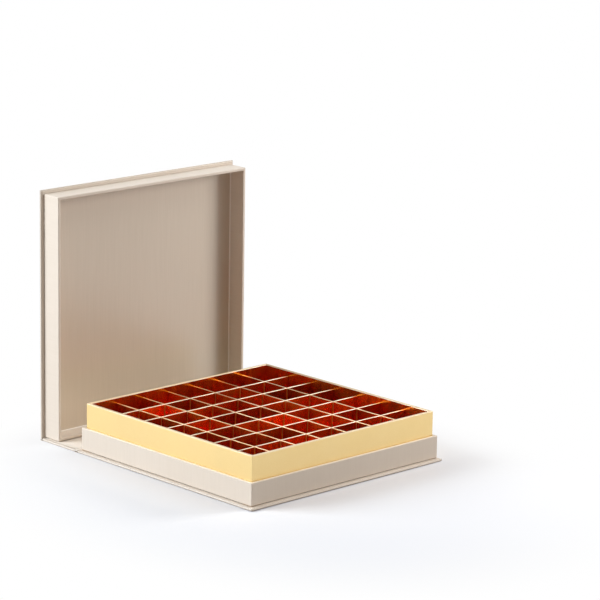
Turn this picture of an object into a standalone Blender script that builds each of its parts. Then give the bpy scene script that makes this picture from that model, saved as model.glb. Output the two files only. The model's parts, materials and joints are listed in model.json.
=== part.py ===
# Gift box in the form of a book: a three-board case that folds, a shallow lid tray,
# a base tray, and a gilt neck that holds a grid of cells.
# Metres, +Z up. The origin is the middle of the bottom panel's underside.
# The box stands open: spine flat on the table, cover upright.

import math

import bmesh
import bpy

for leftover in list(bpy.data.objects):
    bpy.data.objects.remove(leftover, do_unlink=True)

MM = 0.001

# Grid of cells
cells_long = 7  # from the hinge side to the front, along X
cells_wide = 7  # along the hinge, along Y
cell_side = 33.25 * MM  # clear width of a cell
divider_thickness = 1.6 * MM  # card folded double
divider_drop = 5.8 * MM  # divider tops below the rim of the neck
divider_end_play = 0.2 * MM
slot_play = 0.15 * MM
insert_wall = 0.8 * MM  # card frame round the grid
insert_play = 0.2 * MM
insert_drop = 0.4 * MM
floor_card = 0.5 * MM

# Papers and glue
paper = 0.2 * MM
glue = 0.1 * MM
stay_tape = 0.1 * MM  # tape that holds a corner together
stay_leg = 12.0 * MM

# Neck
neck_board = 2.0 * MM
neck_rise = 25.8 * MM  # how far the neck stands above the base tray
neck_turn_in = 20.0 * MM
neck_play = 0.4 * MM  # between the neck and the base tray's walls

# Trays
tray_board = 2.3 * MM
tray_flap = 12.0 * MM  # wrap turned under the tray
base_tray_height = 24.0 * MM
lid_tray_height = 23.5 * MM
closed_gap = 6.2 * MM  # gilt band that shows when the box is shut
tray_liner_play = 0.3 * MM

# Case
case_board = 2.0 * MM
case_turn_in = 15.0 * MM
side_lip = 3.5 * MM  # panels reach past the trays
front_lip = 4.1 * MM
spine_play = 0.8 * MM  # between the spine and the trays' walls
fold_play = 0.25 * MM
fold_set = 0.6 * MM  # panels stand back from the fold line
liner_margin = 2.0 * MM
spine_turn_in = 12.0 * MM

# Worked out from the sizes above
wrap_line = glue + stay_tape + glue
case_thickness = paper + glue + case_board + glue + paper + glue + paper
tray_wall = paper + wrap_line + tray_board + glue + paper
neck_wall = paper + wrap_line + neck_board + glue + paper

grid_long = cells_long * cell_side + (cells_long - 1) * divider_thickness
grid_wide = cells_wide * cell_side + (cells_wide - 1) * divider_thickness
cell_pitch = cell_side + divider_thickness
insert_long = grid_long + 2 * insert_wall
insert_wide = grid_wide + 2 * insert_wall
neck_long = insert_long + 2 * (insert_play + neck_wall)
neck_wide = insert_wide + 2 * (insert_play + neck_wall)
tray_long = neck_long + 2 * (neck_play + tray_wall)
tray_wide = neck_wide + 2 * (neck_play + tray_wall)

tray_back = case_thickness + spine_play  # from the fold line to the trays
panel_long = tray_back + tray_long + front_lip
panel_half = tray_wide / 2 + side_lip
middle = tray_back + tray_long / 2

# Heights above the base's underside
tray_foot = case_thickness + glue
tray_board_foot = tray_foot + paper + glue
tray_floor = tray_board_foot + tray_board
tray_liner_foot = tray_floor + glue
tray_inside = tray_liner_foot + paper
base_rim = case_thickness + base_tray_height
neck_foot = tray_inside + glue
neck_top = base_rim + neck_rise
grid_foot = neck_foot + floor_card + glue
divider_top = neck_top - divider_drop
closed_height = 2 * case_thickness + base_tray_height + closed_gap + lid_tray_height

parts = bpy.data.collections.new("zongzi_gift_box")
cutters = bpy.data.collections.new("cutters")
bpy.context.scene.collection.children.link(parts)
bpy.context.scene.collection.children.link(cutters)


def principled(name, colour, roughness, metallic=0.0):
    material = bpy.data.materials.new(name)
    material.use_nodes = True
    shader = material.node_tree.nodes["Principled BSDF"]
    shader.inputs["Base Color"].default_value = (*colour, 1.0)
    shader.inputs["Roughness"].default_value = roughness
    shader.inputs["Metallic"].default_value = metallic
    material.diffuse_color = (*colour, 1.0)
    return material


pearl_paper = principled("pearl_paper", (0.72, 0.64, 0.55), 0.5)
champagne_lining = principled("champagne_lining", (0.45, 0.34, 0.26), 0.4)
grey_board = principled("grey_board", (0.36, 0.33, 0.29), 0.9)
kraft_tape = principled("kraft_tape", (0.42, 0.27, 0.15), 0.8)
gilt_paper = principled("gilt_paper", (0.93, 0.74, 0.38), 0.3, 1.0)
gilt_card = principled("gilt_card", (0.9, 0.42, 0.12), 0.15, 1.0)


def frame_empty(name, x, turn=(0.0, 0.0, 0.0)):
    """An empty on a fold line, which carries one of the box's three bodies."""
    empty = bpy.data.objects.new(name, None)
    empty.location = (x, 0.0, 0.0)
    empty.rotation_euler = turn
    empty.empty_display_size = 10 * MM
    parts.objects.link(empty)
    return empty


# The fold between the bottom panel and the spine, then the one between spine and cover.
# The cover's own X runs up from its fold and its own Z points at the base.
base_fold = frame_empty("base_fold", -panel_long / 2)
spine_fold = frame_empty("spine_fold", -panel_long / 2)
cover_fold = frame_empty(
    "cover_fold",
    -panel_long / 2 - closed_height,
    (math.pi, -math.pi / 2, 0.0),
)


def place(thing, parent, material=None, collection=parts):
    collection.objects.link(thing)
    thing.parent = parent
    if material:
        thing.data.materials.append(material)
    return thing


def block(name, low, high, parent, material=None, collection=parts):
    """A rectangular piece between two opposite corners."""
    mesh = bpy.data.meshes.new(name)
    shape = bmesh.new()
    bmesh.ops.create_cube(shape, size=1.0)
    size = [top - bottom for bottom, top in zip(low, high)]
    centre = [(top + bottom) / 2 for bottom, top in zip(low, high)]
    bmesh.ops.scale(shape, vec=size, verts=shape.verts)
    bmesh.ops.translate(shape, vec=centre, verts=shape.verts)
    shape.to_mesh(mesh)
    shape.free()
    return place(bpy.data.objects.new(name, mesh), parent, material, collection)


def cut(piece, low, high):
    """Takes a rectangular space out of a piece."""
    name = f"{piece.name}_cut_{len(piece.modifiers) + 1}"
    cutter = block(name, low, high, piece.parent, collection=cutters)
    cutter.hide_render = True
    cutter.display_type = "WIRE"
    modifier = piece.modifiers.new(name, "BOOLEAN")
    modifier.operation = "DIFFERENCE"
    modifier.object = cutter


def ring(name, outline, long, wide, parent, material):
    """A closed outline carried round a rectangle with mitred corners.

    Each point of the outline is (distance in from the outer face, height).
    """
    mesh = bpy.data.meshes.new(name)
    shape = bmesh.new()
    corner = [
        shape.verts.new((middle - long / 2 + inset, -wide / 2 + inset, height))
        for inset, height in outline
    ]
    edges = [shape.edges.new((corner[i - 1], corner[i])) for i in range(len(corner))]
    for side in range(4):
        grown = bmesh.ops.extrude_edge_only(shape, edges=edges)["geom"]
        edges = [item for item in grown if isinstance(item, bmesh.types.BMEdge)]
        for vert in (item for item in grown if isinstance(item, bmesh.types.BMVert)):
            if side % 2 == 0:
                vert.co.x = 2 * middle - vert.co.x
            else:
                vert.co.y = -vert.co.y
    bmesh.ops.remove_doubles(shape, verts=shape.verts, dist=glue / 100)
    bmesh.ops.recalc_face_normals(shape, faces=shape.faces)
    shape.to_mesh(mesh)
    shape.free()
    return place(bpy.data.objects.new(name, mesh), parent, material)


def outline_piece(name, points, thickness, parent, material, location, turn):
    """A flat outline, cut from sheet and laid or stood in place."""
    curve = bpy.data.curves.new(name, "CURVE")
    curve.dimensions = "2D"
    curve.fill_mode = "BOTH"
    curve.extrude = thickness / 2
    spline = curve.splines.new("POLY")
    spline.points.add(len(points) - 1)
    for point, (x, y) in zip(spline.points, points):
        point.co = (x, y, 0.0, 1.0)
    spline.use_cyclic_u = True
    piece = place(bpy.data.objects.new(name, curve), parent, material)
    piece.location = location
    piece.rotation_euler = turn
    return piece


def corner_stays(prefix, long, wide, foot, top, parent):
    """Tape round each corner of a tray or the neck, between its board and its wrap."""
    out = paper + glue
    for number, (sx, sy) in enumerate(((-1, -1), (1, -1), (1, 1), (-1, 1)), start=1):
        legs = [
            (0.0, 0.0),
            (-stay_leg, 0.0),
            (-stay_leg, -stay_tape),
            (-stay_tape, -stay_tape),
            (-stay_tape, -stay_leg),
            (0.0, -stay_leg),
        ]
        points = [(sx * x, sy * y) for x, y in legs]
        if sx * sy < 0:
            points.reverse()
        outline_piece(
            f"{prefix}_corner_stay_{number}",
            points,
            top - foot,
            parent,
            kraft_tape,
            (middle + sx * (long / 2 - out), sy * (wide / 2 - out), (foot + top) / 2),
            (0.0, 0.0, 0.0),
        )


def panel(prefix, parent):
    """A case panel, hinged at its X = 0: board, wrap turned in on three sides, lining."""
    wrap_top = case_thickness - paper - glue
    board = paper + glue
    block(
        f"{prefix}_board",
        (fold_set, -panel_half + board, board),
        (panel_long - board, panel_half - board, board + case_board),
        parent,
        grey_board,
    )
    wrap = block(
        f"{prefix}_wrap",
        (fold_set, -panel_half, 0.0),
        (panel_long, panel_half, wrap_top),
        parent,
        pearl_paper,
    )
    cut(
        wrap,
        (-fold_set, -panel_half + paper, paper),
        (panel_long - paper, panel_half - paper, wrap_top - paper),
    )
    cut(
        wrap,
        (-fold_set, -panel_half + case_turn_in, wrap_top / 2),
        (panel_long - case_turn_in, panel_half - case_turn_in, 2 * wrap_top),
    )
    block(
        f"{prefix}_liner",
        (fold_set, -panel_half + liner_margin, case_thickness - paper),
        (panel_long - liner_margin, panel_half - liner_margin, case_thickness),
        parent,
        pearl_paper,
    )


def tray(prefix, height, parent, liner_material):
    """A rigid tray glued on a panel: board, taped corners, wrap and floor lining."""
    rim = case_thickness + height
    board_rim = rim - paper - glue
    out = paper + wrap_line
    board = block(
        f"{prefix}_board",
        (middle - tray_long / 2 + out, -tray_wide / 2 + out, tray_board_foot),
        (middle + tray_long / 2 - out, tray_wide / 2 - out, board_rim),
        parent,
        grey_board,
    )
    inner = out + tray_board
    cut(
        board,
        (middle - tray_long / 2 + inner, -tray_wide / 2 + inner, tray_floor),
        (middle + tray_long / 2 - inner, tray_wide / 2 - inner, rim + height),
    )
    corner_stays(prefix, tray_long, tray_wide, tray_board_foot, board_rim, parent)
    ring(
        f"{prefix}_wrap",
        [
            (tray_flap, tray_foot),
            (0.0, tray_foot),
            (0.0, rim),
            (tray_wall, rim),
            (tray_wall, tray_liner_foot),
            (tray_wall - paper, tray_liner_foot),
            (tray_wall - paper, rim - paper),
            (paper, rim - paper),
            (paper, tray_foot + paper),
            (tray_flap, tray_foot + paper),
        ],
        tray_long,
        tray_wide,
        parent,
        pearl_paper,
    )
    edge = tray_wall + tray_liner_play
    block(
        f"{prefix}_liner",
        (middle - tray_long / 2 + edge, -tray_wide / 2 + edge, tray_liner_foot),
        (middle + tray_long / 2 - edge, tray_wide / 2 - edge, tray_inside),
        parent,
        liner_material,
    )


def spine():
    """The case's narrow middle panel, with the paper that runs across both folds."""
    foot = case_thickness + fold_play  # from a fold line to the lined end of the spine
    end = foot + paper + glue
    level = paper + glue
    wrap_top = case_thickness - paper - glue
    far = closed_height
    block(
        "spine_board",
        (-far + end, -panel_half + level, level),
        (-end, panel_half - level, level + case_board),
        spine_fold,
        grey_board,
    )
    wrap = block(
        "spine_wrap",
        (-far, -panel_half, 0.0),
        (0.0, panel_half, wrap_top),
        spine_fold,
        pearl_paper,
    )
    beyond = 2 * panel_half
    cut(
        wrap,
        (-far - end, -panel_half + paper, paper),
        (end, panel_half - paper, wrap_top - paper),
    )
    cut(
        wrap,
        (-far - end, -panel_half + spine_turn_in, wrap_top / 2),
        (end, panel_half - spine_turn_in, 2 * wrap_top),
    )
    cut(wrap, (-end, -beyond, paper), (end, beyond, 2 * wrap_top))
    cut(wrap, (-far - end, -beyond, paper), (-far + end, beyond, 2 * wrap_top))

    start = 2 * paper  # the lining stops short of the fold lines
    low = paper + glue
    top = case_thickness
    half = [
        (-start, low),
        (-start, low + paper),
        (-foot, low + paper),
        (-foot, top),
    ]
    inside = [
        (-foot - paper, top - paper),
        (-foot - paper, low),
    ]
    outer = half + [(-far - x, z) for x, z in reversed(half)]
    inner = [(-far - x, z) for x, z in reversed(inside)] + inside
    outline_piece(
        "spine_liner",
        outer + inner,
        2 * (panel_half - liner_margin),
        spine_fold,
        pearl_paper,
        (0.0, 0.0, 0.0),
        (math.pi / 2, 0.0, 0.0),
    )


def neck():
    """The gilt shoulder that stands in the base tray and carries the grid."""
    top = neck_top
    board_out = paper + wrap_line
    board_in = board_out + neck_board
    board_top = top - paper - glue
    ring(
        "neck_board",
        [
            (board_out, neck_foot),
            (board_out, board_top),
            (board_in, board_top),
            (board_in, neck_foot),
        ],
        neck_long,
        neck_wide,
        base_fold,
        grey_board,
    )
    corner_stays("neck", neck_long, neck_wide, neck_foot, board_top, base_fold)
    ring(
        "neck_wrap",
        [
            (0.0, neck_foot),
            (0.0, top),
            (neck_wall, top),
            (neck_wall, top - neck_turn_in),
            (neck_wall - paper, top - neck_turn_in),
            (neck_wall - paper, top - paper),
            (paper, top - paper),
            (paper, neck_foot),
        ],
        neck_long,
        neck_wide,
        base_fold,
        gilt_paper,
    )
    block(
        "floor_card",
        (middle - insert_long / 2, -insert_wide / 2, neck_foot),
        (middle + insert_long / 2, insert_wide / 2, neck_foot + floor_card),
        base_fold,
        gilt_card,
    )
    ring(
        "insert_frame",
        [
            (0.0, grid_foot),
            (0.0, top - insert_drop),
            (insert_wall, top - insert_drop),
            (insert_wall, grid_foot),
        ],
        insert_long,
        insert_wide,
        base_fold,
        gilt_card,
    )


def comb(length, slots, from_top):
    """The outline of a divider strip, with a half-height slot for each crossing strip."""
    height = divider_top - grid_foot
    slot_end = height / 2 - slot_play if from_top else height / 2 + slot_play
    opening = height if from_top else 0.0
    half_slot = divider_thickness / 2 + slot_play
    slotted = []
    for along in slots:
        slotted += [
            (along - half_slot, opening),
            (along - half_slot, slot_end),
            (along + half_slot, slot_end),
            (along + half_slot, opening),
        ]
    left, right = -length / 2, length / 2
    if from_top:
        return [(left, 0.0), (right, 0.0), (right, height)] + slotted[::-1] + [(left, height)]
    return [(left, 0.0)] + slotted + [(right, 0.0), (right, height), (left, height)]


def dividers():
    """Six strips along the box and six across it, crossing in half-height slots."""
    long_places = [(i - cells_wide / 2) * cell_pitch for i in range(1, cells_wide)]
    cross_places = [(i - cells_long / 2) * cell_pitch for i in range(1, cells_long)]
    for number, y in enumerate(long_places, start=1):
        outline_piece(
            f"long_divider_{number}",
            comb(grid_long - 2 * divider_end_play, cross_places, True),
            divider_thickness,
            base_fold,
            gilt_card,
            (middle, y, grid_foot),
            (math.pi / 2, 0.0, 0.0),
        )
    for number, x in enumerate(cross_places, start=1):
        outline_piece(
            f"cross_divider_{number}",
            comb(grid_wide - 2 * divider_end_play, long_places, False),
            divider_thickness,
            base_fold,
            gilt_card,
            (middle + x, 0.0, grid_foot),
            (math.pi / 2, 0.0, math.pi / 2),
        )


panel("bottom", base_fold)
tray("base_tray", base_tray_height, base_fold, champagne_lining)
neck()
dividers()
spine()
panel("cover", cover_fold)
tray("lid_tray", lid_tray_height, cover_fold, champagne_lining)
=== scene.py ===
import json
import math
import random

import bmesh
import bpy
from mathutils import Matrix, Quaternion, Vector

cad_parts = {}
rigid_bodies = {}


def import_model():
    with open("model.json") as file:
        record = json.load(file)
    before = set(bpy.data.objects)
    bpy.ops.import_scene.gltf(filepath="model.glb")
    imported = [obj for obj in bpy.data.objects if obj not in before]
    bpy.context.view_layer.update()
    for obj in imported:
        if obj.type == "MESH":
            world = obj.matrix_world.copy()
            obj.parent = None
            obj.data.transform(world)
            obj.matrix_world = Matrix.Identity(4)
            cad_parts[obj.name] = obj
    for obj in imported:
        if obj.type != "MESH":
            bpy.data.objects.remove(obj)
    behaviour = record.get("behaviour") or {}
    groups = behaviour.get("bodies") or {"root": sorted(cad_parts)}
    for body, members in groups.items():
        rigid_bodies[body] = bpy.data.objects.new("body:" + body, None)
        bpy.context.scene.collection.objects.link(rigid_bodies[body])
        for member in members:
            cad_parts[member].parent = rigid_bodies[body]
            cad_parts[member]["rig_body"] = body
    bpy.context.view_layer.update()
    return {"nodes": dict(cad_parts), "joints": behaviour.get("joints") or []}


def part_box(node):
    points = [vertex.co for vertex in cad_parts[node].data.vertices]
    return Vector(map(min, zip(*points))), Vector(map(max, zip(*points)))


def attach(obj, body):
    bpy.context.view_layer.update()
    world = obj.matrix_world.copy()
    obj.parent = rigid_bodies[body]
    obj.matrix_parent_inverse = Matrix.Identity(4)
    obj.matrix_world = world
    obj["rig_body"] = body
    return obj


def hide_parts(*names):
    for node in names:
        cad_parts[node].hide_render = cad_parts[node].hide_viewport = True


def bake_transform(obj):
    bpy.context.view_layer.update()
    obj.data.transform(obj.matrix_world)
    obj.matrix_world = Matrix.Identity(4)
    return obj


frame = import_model()
mm = 0.001
tolerance = 0.001 * mm
joints = {joint["name"]: joint for joint in frame["joints"]}
baseFold = Vector(joints["spine_fold"]["pos_m"])
coverFold = Vector(joints["cover_fold"]["pos_m"])

# Each panel has its own place: X from its fold to its free edge, Z to the inside of the box
basePlace = Matrix.Translation(baseFold)
lidTurn = Matrix(((0, 0, 1, 0), (0, -1, 0, 0), (1, 0, 0, 0), (0, 0, 0, 1)))
lidPlace = Matrix.Translation(coverFold) @ lidTurn
worldPlace = Matrix.Identity(4)
print("frame loaded:", len(frame["nodes"]), "nodes")


# Finishes

noiseReach, summedReach = (0.3, 0.7), (0.75, 1.25)  # the range that one noise fills, and two added up
plainSockets = {"metallic": "Metallic", "specular": "Specular IOR Level", "coat": "Coat Weight",
                "coatRoughness": "Coat Roughness"}


def addNode(tree, kind, **values):
    made = tree.nodes.new(kind)
    for key, value in values.items():
        setattr(made, key, value)
    return made


def addRange(tree, value, source, result=(0.0, 1.0)):
    spread = addNode(tree, "ShaderNodeMapRange")
    spread.inputs["From Min"].default_value, spread.inputs["From Max"].default_value = source
    spread.inputs["To Min"].default_value, spread.inputs["To Max"].default_value = result
    tree.links.new(value, spread.inputs["Value"])
    return spread.outputs[0]


def mixColours(tree, share, first, second):
    mix = addNode(tree, "ShaderNodeMix", data_type="RGBA")
    sockets = {socket.identifier: socket for socket in (*mix.inputs, *mix.outputs)}
    sockets["A_Color"].default_value = (*first, 1.0)
    sockets["B_Color"].default_value = (*second, 1.0)
    tree.links.new(share, sockets["Factor_Float"])
    return sockets["Result_Color"]


def addNoises(tree, look):
    place = addNode(tree, "ShaderNodeTexCoord")
    stretch = addNode(tree, "ShaderNodeMapping")
    stretch.inputs["Scale"].default_value = look.get("stretch", (1, 1, 1))
    tree.links.new(place.outputs["Object"], stretch.inputs["Vector"])
    heights = {}
    for part in ("streak", "patch", "grain"):
        noise = addNode(tree, "ShaderNodeTexNoise")
        noise.inputs["Scale"].default_value = look[part + "Scale"]
        source = stretch.outputs[0] if part == "streak" else place.outputs["Object"]
        tree.links.new(source, noise.inputs["Vector"])
        heights[part] = noise.outputs["Fac"]
    return heights


def addTint(tree, look, heights):
    blend = addNode(tree, "ShaderNodeMath", operation="ADD")  # streaks and soft patches tint the colour
    tree.links.new(heights["streak"], blend.inputs[0])
    tree.links.new(heights["patch"], blend.inputs[1])
    mixed = addRange(tree, blend.outputs[0], summedReach)
    if "toneReach" in look:  # each wall of a cell has a tone of its own, darker or lighter
        tone = addNode(tree, "ShaderNodeAttribute", attribute_name="tone")
        shift = addNode(tree, "ShaderNodeMath", operation="MULTIPLY_ADD", use_clamp=True)
        shift.inputs[1].default_value = look["toneReach"]
        tree.links.new(tone.outputs["Fac"], shift.inputs[0])
        tree.links.new(mixed, shift.inputs[2])
        mixed = shift.outputs[0]
    return mixColours(tree, mixed, look["colour"], look["shade"])


def addBumps(tree, look, heights):
    normal = None
    for part in ("grain", "streak", "patch"):
        bump = addNode(tree, "ShaderNodeBump")
        bump.inputs["Distance"].default_value = look[part + "Depth"]
        tree.links.new(heights[part], bump.inputs["Height"])
        if normal:
            tree.links.new(normal, bump.inputs["Normal"])
        normal = bump.outputs["Normal"]
    return normal


def makeFinish(name, look):
    material = bpy.data.materials.new(name)
    material.use_nodes = True
    tree = material.node_tree
    shader = tree.nodes["Principled BSDF"]
    for key, socket in plainSockets.items():
        if key in look:
            shader.inputs[socket].default_value = look[key]
    heights = addNoises(tree, look)
    glossRange = look["roughness"] - look["roughnessSpread"], look["roughness"] + look["roughnessSpread"]
    gloss = addRange(tree, heights["patch"], noiseReach, glossRange)
    tree.links.new(addTint(tree, look, heights), shader.inputs["Base Color"])
    tree.links.new(gloss, shader.inputs["Roughness"])
    tree.links.new(addBumps(tree, look, heights), shader.inputs["Normal"])
    return material


pearlLook = {
    "colour": (0.772, 0.667, 0.566), "shade": (0.750, 0.645, 0.541),
    "roughness": 0.46, "roughnessSpread": 0.03, "specular": 0.55,
    "coat": 0.12, "coatRoughness": 0.3,
    "streakScale": 620, "streakDepth": 0.008 * mm,
    "patchScale": 8, "patchDepth": 0.0,
    "grainScale": 2600, "grainDepth": 0.01 * mm,
}
liningLook = {
    "colour": (0.64, 0.535, 0.42), "shade": (0.612, 0.508, 0.392),
    "roughness": 0.38, "roughnessSpread": 0.02, "specular": 0.8,
    "coat": 1.0, "coatRoughness": 0.25, "stretch": (1, 1, 0.03),
    "streakScale": 700, "streakDepth": 0.012 * mm,
    "patchScale": 6, "patchDepth": 0.0,
    "grainScale": 3000, "grainDepth": 0.006 * mm,
}
giltLook = {
    "colour": (0.785, 0.59, 0.275), "shade": (0.765, 0.57, 0.26),
    "roughness": 0.46, "roughnessSpread": 0.03, "metallic": 1.0,
    "coat": 0.3, "coatRoughness": 0.35,
    "streakScale": 900, "streakDepth": 0.002 * mm,
    "patchScale": 30, "patchDepth": 0.02 * mm,
    "grainScale": 3000, "grainDepth": 0.001 * mm,
}
# copper-red foil, redder than gold foil would be: partly its own colour, partly the painted red of the
# cells reflecting into each other
foilLook = {
    "colour": (0.99, 0.43, 0.05), "shade": (0.69, 0.185, 0.02), "toneReach": 0.7,
    "roughness": 0.22, "roughnessSpread": 0.05, "metallic": 1.0,
    "streakScale": 260, "streakDepth": 0.0, "stretch": (1, 1, 0.25),
    "patchScale": 30, "patchDepth": 0.06 * mm,
    "grainScale": 400, "grainDepth": 0.0,
}
giltEdgeLook = {  # stretched over the rim, the gold film is duller
    **giltLook, "colour": (0.76, 0.60, 0.38), "shade": (0.70, 0.53, 0.31),
    "metallic": 0.25, "coat": 0.2,
}
foldedEdgeLook = {
    "colour": (0.86, 0.73, 0.56), "shade": (0.72, 0.56, 0.39),
    "roughness": 0.34, "roughnessSpread": 0.04, "metallic": 1.0,
    "streakScale": 1500, "streakDepth": 0.0,
    "patchScale": 120, "patchDepth": 0.02 * mm,
    "grainScale": 2500, "grainDepth": 0.001 * mm,
}
copperLook = {**foldedEdgeLook, "colour": (0.58, 0.26, 0.055), "shade": (0.46, 0.19, 0.035)}
longCrestReflectionLook = {  # the long dividers' crests: the folded foil with browner gold patches along their length, a painted reflection of the dark lid
    **foldedEdgeLook, "colour": (0.83, 0.61, 0.36), "shade": (0.50, 0.27, 0.10), "patchScale": 24,
}
# the cut card's white core, coloured gold-brown with dark patches: painted shade and painted red
# reflection from the cells
slotCoreShadeLook = {
    "colour": (0.80, 0.47, 0.20), "shade": (0.30, 0.09, 0.02),
    "roughness": 0.5, "roughnessSpread": 0.05, "specular": 0.6,
    "streakScale": 1500, "streakDepth": 0.0,
    "patchScale": 34, "patchDepth": 0.0,
    "grainScale": 2500, "grainDepth": 0.01 * mm,
}
boardLook = {
    "colour": (0.37, 0.34, 0.30), "shade": (0.30, 0.27, 0.235),
    "roughness": 0.88, "roughnessSpread": 0.05, "specular": 0.25,
    "streakScale": 450, "streakDepth": 0.03 * mm,
    "patchScale": 90, "patchDepth": 0.02 * mm,
    "grainScale": 1800, "grainDepth": 0.03 * mm,
}
tapeLook = {
    "colour": (0.43, 0.28, 0.16), "shade": (0.37, 0.235, 0.13),
    "roughness": 0.8, "roughnessSpread": 0.05, "specular": 0.3,
    "streakScale": 700, "streakDepth": 0.02 * mm,
    "patchScale": 100, "patchDepth": 0.01 * mm,
    "grainScale": 2000, "grainDepth": 0.02 * mm,
}
upStreaks, outStreaks = (1, 1, 0.05), (0.05, 1, 1)  # up the base's walls, and out along the lid's
basePaper = makeFinish("pearlPaperBase", {**pearlLook, "stretch": upStreaks})
lidPaper = makeFinish("pearlPaperLid", {**pearlLook, "stretch": outStreaks})
paintedLightLook = {  # a paler copy of the pearl paper for the linings of the spine and its fold, and the turned-up edge of the lid's lining: painted light on the spine, which the lid and neck shade, and a painted highlight along the lining's edge
    **pearlLook, "colour": (0.93, 0.85, 0.765), "shade": (0.90, 0.82, 0.73), "stretch": outStreaks,
}
paintedLightPaper = makeFinish("paintedLightLiningPaper", paintedLightLook)
lining = makeFinish("satinLining", liningLook)
giltPaper = makeFinish("giltPaper", giltLook)
foilCard = makeFinish("foilCard", foilLook)
foldedEdge = makeFinish("foldedFoilEdge", foldedEdgeLook)
longCrestReflection = makeFinish("longCrestPaintedReflection", longCrestReflectionLook)
copperFoil = makeFinish("copperFoil", copperLook)
slotCoreShade = makeFinish("slotCoreShadeEdge", slotCoreShadeLook)
giltEdge = makeFinish("giltRim", giltEdgeLook)
greyBoard = makeFinish("greyBoard", boardLook)
kraftTape = makeFinish("kraftTape", tapeLook)
print("finishes made")


# Modelling helpers

shaping = {"facingCosine": 0.9, "bevelFrom": 0.6, "smoothBelow": 40}  # radians, then degrees


def localBox(node, place):
    corners = [place.inverted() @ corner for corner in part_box(node)]
    return Vector(map(min, *corners)), Vector(map(max, *corners))


def addBlock(shape, low, high):
    verts = bmesh.ops.create_cube(shape, size=1.0)["verts"]
    bmesh.ops.scale(shape, vec=Vector(high) - Vector(low), verts=verts)
    bmesh.ops.translate(shape, vec=(Vector(low) + Vector(high)) / 2, verts=verts)


def facing(shape, direction):
    return [face for face in shape.faces if face.normal.dot(Vector(direction)) > shaping["facingCosine"]]


def vertsOf(geometry):
    return [item for item in geometry if isinstance(item, bmesh.types.BMVert)]


def cornersOf(faces):
    return list({vert for face in faces for vert in face.verts})


def roundEdges(shape, radius, segments, edges=None):
    if edges is None:
        edges = [edge for edge in shape.edges
                 if edge.is_manifold and edge.calc_face_angle() > shaping["bevelFrom"]]
    bmesh.ops.bevel(shape, geom=edges, offset=radius, offset_type="OFFSET", segments=segments,
                    profile=0.5, affect="EDGES", clamp_overlap=True, material=-1)


def cutAcross(shape, point, direction, faces=None):
    if faces is None:
        faces = shape.faces[:]
    geometry = {item for face in faces for item in (face, *face.edges, *face.verts)}
    bmesh.ops.bisect_plane(shape, geom=list(geometry), plane_co=point, plane_no=direction)


def finishPiece(name, shape, place, body, materials, nodes=(), sheet=0.0):
    bmesh.ops.transform(shape, matrix=place, verts=shape.verts)
    mesh = bpy.data.meshes.new(name)
    shape.to_mesh(mesh)
    shape.free()
    for material in materials:
        mesh.materials.append(material)
    mesh.shade_smooth()
    mesh.set_sharp_from_angle(angle=math.radians(shaping["smoothBelow"]))
    piece = bpy.data.objects.new(name, mesh)
    bpy.context.scene.collection.objects.link(piece)
    if sheet:
        thicken = piece.modifiers.new("sheet", "SOLIDIFY")
        thicken.thickness = sheet
        thicken.offset = -1
        thicken.use_even_offset = True
    even = piece.modifiers.new("evenNormals", "WEIGHTED_NORMAL")
    even.keep_sharp = True
    if body:
        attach(piece, body)
    if nodes:
        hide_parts(*nodes)
    return piece


# Case: two wrapped panels and a spine

casePaper = {"sheet": 0.2 * mm, "edge": 1.25 * mm, "segments": 6, "turnIn": 15 * mm,
             "foldTurnIn": 5 * mm, "spineTurnIn": 12 * mm, "foldEnd": 0.1 * mm}


def wrapPanel(prefix, body, place, paper):
    low, high = localBox(prefix + "_wrap", place)
    low.x -= casePaper["foldEnd"]
    first = Vector((low.x + casePaper["foldTurnIn"], low.y + casePaper["turnIn"], 0))
    last = Vector((high.x - casePaper["turnIn"], high.y - casePaper["turnIn"], 0))
    shape = bmesh.new()
    addBlock(shape, low, high)
    for point, direction in ((first, (0, 1, 0)), (last, (0, 1, 0)), (last, (1, 0, 0)), (first, (1, 0, 0))):
        cutAcross(shape, point, direction, facing(shape, (0, 0, 1)))
    middle = [face for face in facing(shape, (0, 0, 1))
              if abs(face.calc_center_median().y) < last.y
              and first.x < face.calc_center_median().x < last.x]
    bmesh.ops.delete(shape, geom=middle, context="FACES")  # the turn-ins stay as a border on the inside
    roundEdges(shape, casePaper["edge"], casePaper["segments"])
    finishPiece(prefix + "_paper", shape, place, body, [paper], [prefix + "_wrap"],
                casePaper["sheet"])


def wrapSpine():
    low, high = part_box("spine_wrap")
    boardLow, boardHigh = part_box("spine_board")
    shape = bmesh.new()
    addBlock(shape, (boardLow.x, low.y, low.z), (boardHigh.x, high.y, high.z))
    ends = facing(shape, (1, 0, 0)) + facing(shape, (-1, 0, 0))
    bmesh.ops.delete(shape, geom=ends, context="FACES_ONLY")
    turnIn = casePaper["spineTurnIn"]
    for y in (low.y + turnIn, high.y - turnIn):
        cutAcross(shape, (0, y, 0), (0, 1, 0), facing(shape, (0, 0, 1)))
    middle = [face for face in facing(shape, (0, 0, 1))
              if abs(face.calc_center_median().y) < high.y - turnIn]
    bmesh.ops.delete(shape, geom=middle, context="FACES")
    roundEdges(shape, casePaper["edge"], casePaper["segments"])
    finishPiece("spine_paper", shape, worldPlace, "spine", [basePaper], ["spine_wrap"],
                casePaper["sheet"])


liningSheet = {"sheet": 0.2 * mm, "overEnd": 0.3 * mm, "edge": 0.45 * mm, "segments": 4,
               "cove": 1.2 * mm, "coveGap": 0.15 * mm, "coveEdge": 0.6 * mm, "coveSegments": 4,
               "satinSheet": 0.1 * mm, "flatCosine": 0.99}


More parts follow.
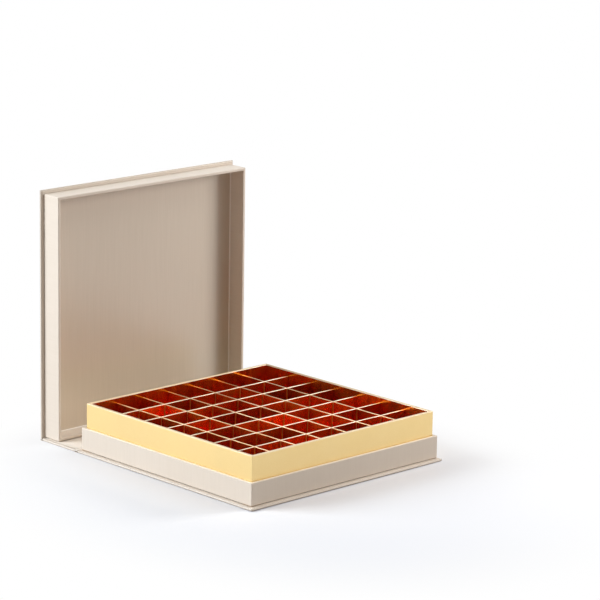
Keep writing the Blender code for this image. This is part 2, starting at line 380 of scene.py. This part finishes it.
def lineSpine():
    low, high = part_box("spine_liner")
    boardLow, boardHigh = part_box("spine_board")
    over = liningSheet["overEnd"]
    shape = bmesh.new()
    addBlock(shape, (boardLow.x - over, low.y, low.z), (boardHigh.x + over, high.y, high.z))
    hidden = facing(shape, (0, 0, -1)) + facing(shape, (0, 1, 0)) + facing(shape, (0, -1, 0))
    bmesh.ops.delete(shape, geom=hidden, context="FACES_ONLY")
    roundEdges(shape, liningSheet["edge"], liningSheet["segments"])
    # the spine's lining takes the paler paper: painted light where the lid and neck shade the spine
    finishPiece("spine_lining", shape, worldPlace, "spine", [paintedLightPaper], ["spine_liner"],
                liningSheet["sheet"])


# Fold papers: the case paper, its turn-in and the lining, glued into one flexible strip
foldPaper = {"thickness": 0.4 * mm, "reach": 0.5 * mm, "loops": 9, "edge": 0.15 * mm, "edgeSegments": 2,
             "bendFrom": 0.8, "cornerShare": 0.9, "cornerSegments": 5}
foldLining = {"drop": 0.15 * mm, "dip": 0.3 * mm, "turnInDepth": 1.0 * mm, "loops": 12}


def baseFoldPaper():
    low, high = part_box("spine_wrap")
    near = baseFold.x + foldPaper["reach"]
    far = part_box("spine_board")[1].x + liningSheet["overEnd"]
    shape = bmesh.new()
    addBlock(shape, (far, low.y, low.z), (near, high.y, low.z + foldPaper["thickness"]))
    ends = [edge for edge in shape.edges
            if abs(edge.verts[0].co.y - edge.verts[1].co.y) < tolerance
            and abs(edge.verts[0].co.z - edge.verts[1].co.z) < tolerance]
    roundEdges(shape, foldPaper["edge"], foldPaper["edgeSegments"], ends)
    for loop in range(foldPaper["loops"]):
        x = baseFold.x + foldPaper["reach"] * (2 * (loop + 0.5) / foldPaper["loops"] - 1)
        cutAcross(shape, (x, 0, 0), (1, 0, 0))
    strip = finishPiece("base_fold_paper", shape, worldPlace, None, [basePaper])
    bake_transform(strip)


def baseFoldLining():
    wrapHigh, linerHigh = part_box("spine_wrap")[1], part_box("spine_liner")[1]
    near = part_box("bottom_wrap")[0].x
    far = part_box("spine_board")[1].x + liningSheet["overEnd"]
    top = linerHigh.z - foldLining["drop"]
    under = top - liningSheet["sheet"]
    for name, reach, bottom, level in (
            ("base_fold_turn_in", wrapHigh.y, top - foldLining["turnInDepth"], under),
            ("base_fold_lining", linerHigh.y, under, top)):
        shape = bmesh.new()
        addBlock(shape, (far, -reach, bottom), (near, reach, level))
        for loop in range(1, foldLining["loops"]):
            cutAcross(shape, (far + (near - far) * loop / foldLining["loops"], 0, 0), (1, 0, 0))
        for vert in shape.verts:
            share = (vert.co.x - far) / (near - far)
            vert.co.z -= foldLining["dip"] * math.sin(math.pi * share) ** 2  # sinks into the fold
        # the fold's strips take the paler paper too: painted light
        strip = finishPiece(name, shape, worldPlace, None, [paintedLightPaper])
        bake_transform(strip)


def coverFoldPaper():
    low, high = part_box("spine_wrap")
    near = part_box("spine_board")[0].x - liningSheet["overEnd"]
    thickness = foldPaper["thickness"]
    inner = coverFold.x + thickness
    shape = bmesh.new()
    addBlock(shape, (coverFold.x, low.y, 0), (near, high.y, thickness))
    cutAcross(shape, (inner, 0, 0), (1, 0, 0))
    step = [face for face in facing(shape, (0, 0, 1)) if face.calc_center_median().x < inner]
    grown = bmesh.ops.extrude_discrete_faces(shape, faces=step)["faces"]
    bmesh.ops.translate(shape, vec=(0, 0, foldPaper["reach"] - thickness), verts=cornersOf(grown))
    outer = [edge for edge in shape.edges
             if all(abs(vert.co.x - coverFold.x) < tolerance and abs(vert.co.z) < tolerance
                    for vert in edge.verts)]
    roundEdges(shape, thickness * foldPaper["cornerShare"], foldPaper["cornerSegments"], outer)
    strip = finishPiece("cover_fold_paper", shape, worldPlace, None, [basePaper])
    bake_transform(strip)


# A plain rosette with two rules, stamped in copper foil on the cover
stamp = {"lift": 0.06 * mm, "thickness": 0.1 * mm,
         "ringRadius": 2.3 * mm, "ringWidth": 0.7 * mm, "ringSegments": 32,
         "petals": 8, "petalSize": (8 * mm, 3.2 * mm), "petalReach": 7.4 * mm, "petalSegments": 20,
         "ruleSize": (26 * mm, 0.9 * mm), "ruleReach": 28 * mm, "ruleSegments": 4}


def addLeaf(shape, kind, turn):
    segments = stamp[kind + "Segments"]
    verts = bmesh.ops.create_circle(shape, cap_ends=True, segments=segments, radius=0.5)["verts"]
    bmesh.ops.scale(shape, vec=(*stamp[kind + "Size"], 1), verts=verts)
    bmesh.ops.translate(shape, vec=(stamp[kind + "Reach"], 0, 0), verts=verts)
    bmesh.ops.rotate(shape, matrix=Matrix.Rotation(turn, 3, "Z"), verts=verts)


def stampCover():
    low, high = localBox("cover_wrap", lidPlace)
    shape = bmesh.new()
    bmesh.ops.create_circle(shape, cap_ends=True, segments=stamp["ringSegments"],
                            radius=stamp["ringRadius"])
    disc = shape.faces[:]
    bmesh.ops.inset_region(shape, faces=disc, thickness=stamp["ringWidth"], use_boundary=True)
    bmesh.ops.delete(shape, geom=disc, context="FACES_ONLY")
    for petal in range(stamp["petals"]):
        addLeaf(shape, "petal", 2 * math.pi * (petal + 0.5) / stamp["petals"])
    for turn in (0, math.pi):
        addLeaf(shape, "rule", turn)
    bmesh.ops.recalc_face_normals(shape, faces=shape.faces)
    bmesh.ops.reverse_faces(shape, faces=facing(shape, (0, 0, 1)))
    middle = (low + high) / 2
    bmesh.ops.translate(shape, vec=(middle.x, middle.y, low.z - stamp["lift"]), verts=shape.verts)
    finishPiece("cover_rosette", shape, lidPlace, "lid", [copperFoil], (), stamp["thickness"])


wrapPanel("bottom", "base", basePlace, basePaper)
wrapPanel("cover", "lid", lidPlace, lidPaper)
wrapSpine()
lineSpine()
baseFoldPaper()
baseFoldLining()
coverFoldPaper()
stampCover()
print("case wrapped")


# Trays and neck

trayPaper = {"sheet": 0.2 * mm, "edge": 0.65 * mm, "segments": 5, "flap": 12 * mm,
             "linerPlay": 0.3 * mm, "footLift": 0.6 * mm}
neckPaper = {"sheet": 0.2 * mm, "edge": 0.9 * mm, "segments": 5, "turnIn": 20 * mm, "insertPlay": 0.2 * mm}


def openRing(low, high, wall, depth):  # a block with a mouth, whose inner walls hang down from the rim
    shape = bmesh.new()
    addBlock(shape, low, high)
    mouth = facing(shape, (0, 0, 1))
    bmesh.ops.inset_region(shape, faces=mouth, thickness=wall, use_even_offset=True)
    inner = mouth[0].edges[:]
    bmesh.ops.delete(shape, geom=mouth, context="FACES_ONLY")
    grown = bmesh.ops.extrude_edge_only(shape, edges=inner)["geom"]
    bmesh.ops.translate(shape, vec=(0, 0, -depth), verts=vertsOf(grown))
    return shape


def wrapTray(prefix, body, place, paper):
    low, high = localBox(prefix + "_wrap", place)
    linerLow = localBox(prefix + "_liner", place)[0]
    wall = linerLow.x - low.x - trayPaper["linerPlay"]
    low.z += trayPaper["footLift"]  # the glue holds the tray a little off the panel
    shape = openRing(low, high, wall, high.z - linerLow.z)
    under = facing(shape, (0, 0, -1))
    bmesh.ops.inset_region(shape, faces=under, thickness=trayPaper["flap"], use_even_offset=True)
    bmesh.ops.delete(shape, geom=under, context="FACES_ONLY")
    bmesh.ops.recalc_face_normals(shape, faces=shape.faces)
    roundEdges(shape, trayPaper["edge"], trayPaper["segments"])
    finishPiece(prefix + "_paper", shape, place, body, [paper], [prefix + "_wrap"],
                trayPaper["sheet"])


def lineLid():
    low, high = localBox("lid_tray_liner", lidPlace)
    play = liningSheet["coveGap"]
    shape = bmesh.new()
    addBlock(shape, low - Vector((play, play, 0)), high + Vector((play, play, liningSheet["cove"])))
    bmesh.ops.delete(shape, geom=facing(shape, (0, 0, 1)), context="FACES_ONLY")
    bmesh.ops.reverse_faces(shape, faces=shape.faces)
    foot = [edge for edge in shape.edges if all(vert.co.z < high.z for vert in edge.verts)]
    roundEdges(shape, liningSheet["coveEdge"], liningSheet["coveSegments"], foot)
    # the turned-up edge and its bend take the paler paper: a painted highlight along the lining's edge
    for face in shape.faces:
        face.material_index = 0 if face.normal.z > liningSheet["flatCosine"] else 1
    finishPiece("lid_lining", shape, lidPlace, "lid", [lining, paintedLightPaper],
                ["lid_tray_liner"], liningSheet["satinSheet"])


def wrapNeck():
    low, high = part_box("neck_wrap")
    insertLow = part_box("insert_frame")[0]
    wall = insertLow.x - low.x - neckPaper["insertPlay"]
    shape = openRing(low, high, wall, neckPaper["turnIn"])
    bmesh.ops.delete(shape, geom=facing(shape, (0, 0, -1)), context="FACES_ONLY")
    bmesh.ops.recalc_face_normals(shape, faces=shape.faces)
    roundEdges(shape, neckPaper["edge"], neckPaper["segments"])
    for face in shape.faces:
        if face.calc_center_median().z > high.z - neckPaper["edge"]:
            face.material_index = 1
    finishPiece("neck_paper", shape, worldPlace, "base", [giltPaper, giltEdge], ["neck_wrap"],
                neckPaper["sheet"])


wrapTray("base_tray", "base", basePlace, basePaper)
wrapTray("lid_tray", "lid", lidPlace, lidPaper)
lineLid()
wrapNeck()
print("trays and neck wrapped")


# Grid of cells

gridCard = {"cells": 7, "slotPlay": 0.15 * mm, "cutLip": 0.9 * mm, "crestCosine": 0.05,
            "topRound": 0.3 * mm, "topSegments": 3,
            "frameWall": 0.8 * mm, "frameEdge": 0.15 * mm, "frameSegments": 2,
            # the frame walls' lightest tone is kept high, so they come out darker: painted shade
            "frameSeed": 5, "frameShadedLightest": 0.1,
            "bow": 0.5 * mm, "bowAtFoot": 0.35, "bowColumns": 6, "seed": 11}


def cellTones(shape, crossings, chance, lightest):
    for along in crossings:
        cutAcross(shape, (along.x, 0, 0), (1, 0, 0))
        cutAcross(shape, (0, along.y, 0), (0, 1, 0))
    tone = shape.faces.layers.float.new("tone")
    walls = {}
    for face in shape.faces:
        centre = face.calc_center_median()
        side = tuple(round(part) for part in face.normal)
        cell = (sum(centre.x > along.x for along in crossings),
                sum(centre.y > along.y for along in crossings))
        walls.setdefault((side, cell), []).append(face)
    for wall in sorted(walls):  # sorted, because bevel makes its faces in no fixed order
        value = chance.uniform(lightest, 1)
        for face in walls[wall]:
            face[tone] = value


def cardFrame():
    low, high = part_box("insert_frame")
    shape = openRing(low, high, gridCard["frameWall"], high.z - low.z)
    under = facing(shape, (0, 0, -1))
    bmesh.ops.inset_region(shape, faces=under, thickness=gridCard["frameWall"], use_even_offset=True)
    bmesh.ops.delete(shape, geom=under, context="FACES_ONLY")
    bmesh.ops.remove_doubles(shape, verts=shape.verts, dist=tolerance)
    bmesh.ops.recalc_face_normals(shape, faces=shape.faces)
    roundEdges(shape, gridCard["frameEdge"], gridCard["frameSegments"])
    crossings = [Vector((sum(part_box(f"cross_divider_{number}"), Vector()).x / 2,
                         sum(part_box(f"long_divider_{number}"), Vector()).y / 2, 0))
                 for number in range(1, gridCard["cells"])]
    # the frame's walls draw tones from the darker end only: painted shade on the grid's outer walls
    cellTones(shape, crossings, random.Random(gridCard["frameSeed"]), gridCard["frameShadedLightest"])
    rim = high.z - gridCard["frameEdge"]
    for face in shape.faces:
        if face.calc_center_median().z > rim and face.normal.z > gridCard["crestCosine"]:
            face.material_index = 1
    finishPiece("card_frame", shape, worldPlace, "base", [foilCard, foldedEdge],
                ["insert_frame"])


def slottedCard(length, thickness, height, crossings, slot, fromTop):  # half a card, then its teeth
    lip = slot / 2 + gridCard["cutLip"]
    low, high = (0.0, height / 2) if fromTop else (height / 2, height)
    level, rise = (high, height / 2) if fromTop else (low, -height / 2)
    shape = bmesh.new()
    addBlock(shape, (-length / 2, -thickness / 2, low), (length / 2, thickness / 2, high))
    for along in crossings:
        for side in (-lip, -slot / 2, slot / 2, lip):
            cutAcross(shape, (along + side, 0, 0), (1, 0, 0))
    teeth = []
    for face in facing(shape, (0, 0, 1)) + facing(shape, (0, 0, -1)):
        centre = face.calc_center_median()
        clear = all(abs(centre.x - along) > slot / 2 for along in crossings)
        if abs(centre.z - level) < tolerance and clear:
            teeth.append(face)
    grown = bmesh.ops.extrude_discrete_faces(shape, faces=teeth)["faces"]
    bmesh.ops.translate(shape, vec=(0, 0, rise), verts=cornersOf(grown))
    return shape


def bowCard(shape, height, stops, chance):  # each cell's stretch of card bows a little
    tone = shape.faces.layers.float.new("tone")
    foot = gridCard["bowAtFoot"]
    for start, end in zip(stops, stops[1:]):
        for column in range(1, gridCard["bowColumns"]):
            x = start + (end - start) * column / gridCard["bowColumns"]
            cutAcross(shape, (x, 0, 0), (1, 0, 0))
        bow = chance.uniform(-1, 1) * gridCard["bow"]
        tones = {side: chance.uniform(-1, 1) for side in (-1, 1)}
        for face in shape.faces:
            centre = face.calc_center_median()
            if start < centre.x < end:
                face[tone] = tones[1 if centre.y > 0 else -1]
        for vert in shape.verts:
            if start < vert.co.x < end:
                share = math.sin(math.pi * (vert.co.x - start) / (end - start)) ** 2
                vert.co.y += bow * share * (foot + (1 - foot) * vert.co.z / height)


def dividerShape(length, thickness, height, pitch, fromTop, chance):
    cells = gridCard["cells"]
    crossings = [(number - cells / 2) * pitch for number in range(1, cells)]
    slot = thickness + 2 * gridCard["slotPlay"]
    shape = slottedCard(length, thickness, height, crossings, slot, fromTop)
    crest = [edge for edge in shape.edges if all(vert.co.z > height - tolerance for vert in edge.verts)
             and abs(edge.verts[0].co.y - edge.verts[1].co.y) < tolerance]
    roundEdges(shape, gridCard["topRound"], gridCard["topSegments"], crest)
    lip = slot / 2 + gridCard["cutLip"]
    for face in shape.faces:
        centre = face.calc_center_median()
        if centre.z > height - gridCard["topRound"] and face.normal.z > gridCard["crestCosine"]:
            face.material_index = 1
        elif fromTop and centre.z > height / 2 and any(abs(centre.x - along) < lip for along in crossings):
            face.material_index = 2  # the cut card shows beside each slot; its white core is painted gold-brown with dark patches, as painted shade and red reflection from the cells
    bowCard(shape, height, [-length / 2, *crossings, length / 2], chance)
    return shape


def dividers():
    chance = random.Random(gridCard["seed"])
    for kind, other, across in (("long", "cross", False), ("cross", "long", True)):
        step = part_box(other + "_divider_2")[0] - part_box(other + "_divider_1")[0]
        pitch = step.y if across else step.x
        turn = Matrix.Rotation(math.pi / 2 if across else 0.0, 4, "Z")
        # the long dividers take the crest copy with the painted reflection of the lid
        crest = foldedEdge if across else longCrestReflection
        for number in range(1, gridCard["cells"]):
            node = f"{kind}_divider_{number}"
            low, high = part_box(node)
            size = high - low
            length, thickness = (size.y, size.x) if across else (size.x, size.y)
            shape = dividerShape(length, thickness, size.z, pitch, not across, chance)
            middle = (low + high) / 2
            place = Matrix.Translation((middle.x, middle.y, low.z)) @ turn
            finishPiece(node + "_card", shape, place, "base", [foilCard, crest, slotCoreShade],
                        [node])


cardFrame()
dividers()
print("grid made")


# Carried-over nodes keep their shape and get their finish

finishOf = {"board": greyBoard, "stay": kraftTape, "tray_liner": lining, "floor_card": foilCard}
for name, node in frame["nodes"].items():
    finish = lidPaper if node["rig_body"] == "lid" else basePaper
    for word, material in finishOf.items():
        if word in name:
            finish = material
    node.data.materials.clear()
    node.data.materials.append(finish)
print("nodes finished")


# Stage, lights and camera

stageLook = {"floorSize": 40.0, "floorDrop": 0.2 * mm, "floorColour": (0.40, 0.372, 0.36),
             "seenColour": (0.84, 0.832, 0.835), "seenGlow": (0.0, 0.0, 0.025), "white": (1, 1, 1),
             "shadeMiddle": (0.105, -0.05, 0), "shadeStretch": (1, 1.25, 1),
             "plainFrom": 0.17, "plainTo": 0.38, "glossyBounces": 12}
lights = {
    "world": {"colour": (1.0, 0.90, 0.80), "strength": 0.19},
    "left": {"from": (-0.6, -0.8, 0.47), "colour": (0.875, 0.945, 1.0), "power": 166.0,
             "size": 2.2, "distance": 3.5, "aim": (0, 0, 0.1)},
    "front": {"from": (0.62, 0.9, 0.42), "colour": (1.0, 0.985, 0.96), "power": 7.3,
              "size": 0.4, "distance": 1.1, "aim": (-0.1, 0.05, 0.12)},
    "top": {"from": (0.38, 0.48, 0.82), "colour": (0.90, 0.96, 1.0), "strength": 1.0, "angle": 35},
}
cameraView = {"aim": (7.086 * mm, 47.382 * mm, 158.985 * mm), "distance": 3.01843,
              "azimuth": 46.328, "elevation": 13.414, "roll": 0.928,
              "lens": 177.714, "sensor": 36, "farthest": 100}


def seenDirectly(tree):  # 1 where the camera or a reflection looks, 0 where light is gathered
    path = addNode(tree, "ShaderNodeLightPath")
    total = path.outputs["Is Camera Ray"]
    for other in ("Is Glossy Ray", "Is Transmission Ray"):
        add = addNode(tree, "ShaderNodeMath", operation="ADD", use_clamp=True)
        tree.links.new(total, add.inputs[0])
        tree.links.new(path.outputs[other], add.inputs[1])
        total = add.outputs[0]
    return total


def addShader(tree, kind, colour):
    shader = addNode(tree, kind)
    shader.inputs["Color"].default_value = (*colour, 1.0)
    return shader.outputs[0]


def mixShaders(tree, share, first, second):
    mix = addNode(tree, "ShaderNodeMixShader")
    for socket, source in zip(mix.inputs, (share, first, second)):
        tree.links.new(source, socket)
    return mix.outputs[0]


def awayFromBox(tree):
    place = addNode(tree, "ShaderNodeTexCoord")
    middle = addNode(tree, "ShaderNodeVectorMath", operation="SUBTRACT")
    middle.inputs[1].default_value = stageLook["shadeMiddle"]
    squash = addNode(tree, "ShaderNodeVectorMath", operation="MULTIPLY")
    squash.inputs[1].default_value = stageLook["shadeStretch"]
    away = addNode(tree, "ShaderNodeVectorMath", operation="LENGTH")
    fade = addNode(tree, "ShaderNodeMapRange", interpolation_type="SMOOTHSTEP")
    fade.inputs["From Min"].default_value = stageLook["plainFrom"]
    fade.inputs["From Max"].default_value = stageLook["plainTo"]
    tree.links.new(place.outputs["Object"], middle.inputs[0])
    tree.links.new(middle.outputs[0], squash.inputs[0])
    tree.links.new(squash.outputs[0], away.inputs[0])
    tree.links.new(away.outputs["Value"], fade.inputs["Value"])
    return fade.outputs[0]


def floorFinish():
    material = bpy.data.materials.new("whiteFloor")
    material.use_nodes = True
    tree = material.node_tree
    tree.nodes.remove(tree.nodes["Principled BSDF"])
    lit = addShader(tree, "ShaderNodeBsdfDiffuse", stageLook["floorColour"])
    seen = addShader(tree, "ShaderNodeBsdfDiffuse", stageLook["seenColour"])
    glow = addShader(tree, "ShaderNodeEmission", stageLook["seenGlow"])
    white = addShader(tree, "ShaderNodeEmission", stageLook["white"])
    lifted = addNode(tree, "ShaderNodeAddShader")
    tree.links.new(seen, lifted.inputs[0])
    tree.links.new(glow, lifted.inputs[1])
    faded = mixShaders(tree, awayFromBox(tree), lifted.outputs[0], white)
    chosen = mixShaders(tree, seenDirectly(tree), lit, faded)
    tree.links.new(chosen, tree.nodes["Material Output"].inputs["Surface"])
    return material


def makeFloor():
    shape = bmesh.new()
    bmesh.ops.create_grid(shape, x_segments=1, y_segments=1, size=stageLook["floorSize"] / 2)
    bmesh.ops.translate(shape, vec=(0, 0, -stageLook["floorDrop"]), verts=shape.verts)
    mesh = bpy.data.meshes.new("floor")
    shape.to_mesh(mesh)
    shape.free()
    mesh.materials.append(floorFinish())
    floor = bpy.data.objects.new("floor", mesh)
    bpy.context.scene.collection.objects.link(floor)


def makeWorld():
    world = bpy.data.worlds.new("studio")
    bpy.context.scene.world = world
    world.use_nodes = True
    tree = world.node_tree
    fill = [part * lights["world"]["strength"] for part in lights["world"]["colour"]]
    colour = mixColours(tree, seenDirectly(tree), fill, stageLook["white"])
    tree.links.new(colour, tree.nodes["Background"].inputs["Color"])


def makeLamp(name):
    look = lights[name]
    lamp = bpy.data.lights.new(name, "AREA" if "power" in look else "SUN")
    lamp.color = look["colour"]
    holder = bpy.data.objects.new(name + "Light", lamp)
    holder.rotation_mode = "QUATERNION"
    holder.rotation_quaternion = Vector(look["from"]).to_track_quat("Z", "Y")
    if "power" in look:
        lamp.energy = look["power"]
        lamp.size = look["size"]
        holder.location = Vector(look["aim"]) + Vector(look["from"]).normalized() * look["distance"]
    else:
        lamp.energy = look["strength"]
        lamp.angle = math.radians(look["angle"])
    bpy.context.scene.collection.objects.link(holder)


def makeCamera():
    camera = bpy.data.cameras.new("camera")
    camera.lens = cameraView["lens"]
    camera.sensor_width = cameraView["sensor"]
    camera.clip_end = cameraView["farthest"]
    holder = bpy.data.objects.new("camera", camera)
    turn, tilt = math.radians(cameraView["azimuth"]), math.radians(cameraView["elevation"])
    back = Vector((math.sin(turn) * math.cos(tilt), -math.cos(turn) * math.cos(tilt), math.sin(tilt)))
    roll = Quaternion((0, 0, 1), math.radians(cameraView["roll"]))
    holder.location = Vector(cameraView["aim"]) + back * cameraView["distance"]
    holder.rotation_mode = "QUATERNION"
    holder.rotation_quaternion = back.to_track_quat("Z", "Y") @ roll
    bpy.context.scene.collection.objects.link(holder)
    bpy.context.scene.camera = holder


makeFloor()
makeWorld()
for lampName in ("left", "front", "top"):
    makeLamp(lampName)
makeCamera()
bpy.context.scene.view_settings.view_transform = "Standard"
bpy.context.scene.cycles.glossy_bounces = stageLook["glossyBounces"]  # the foil cells light each other
print("stage, lights and camera ready")
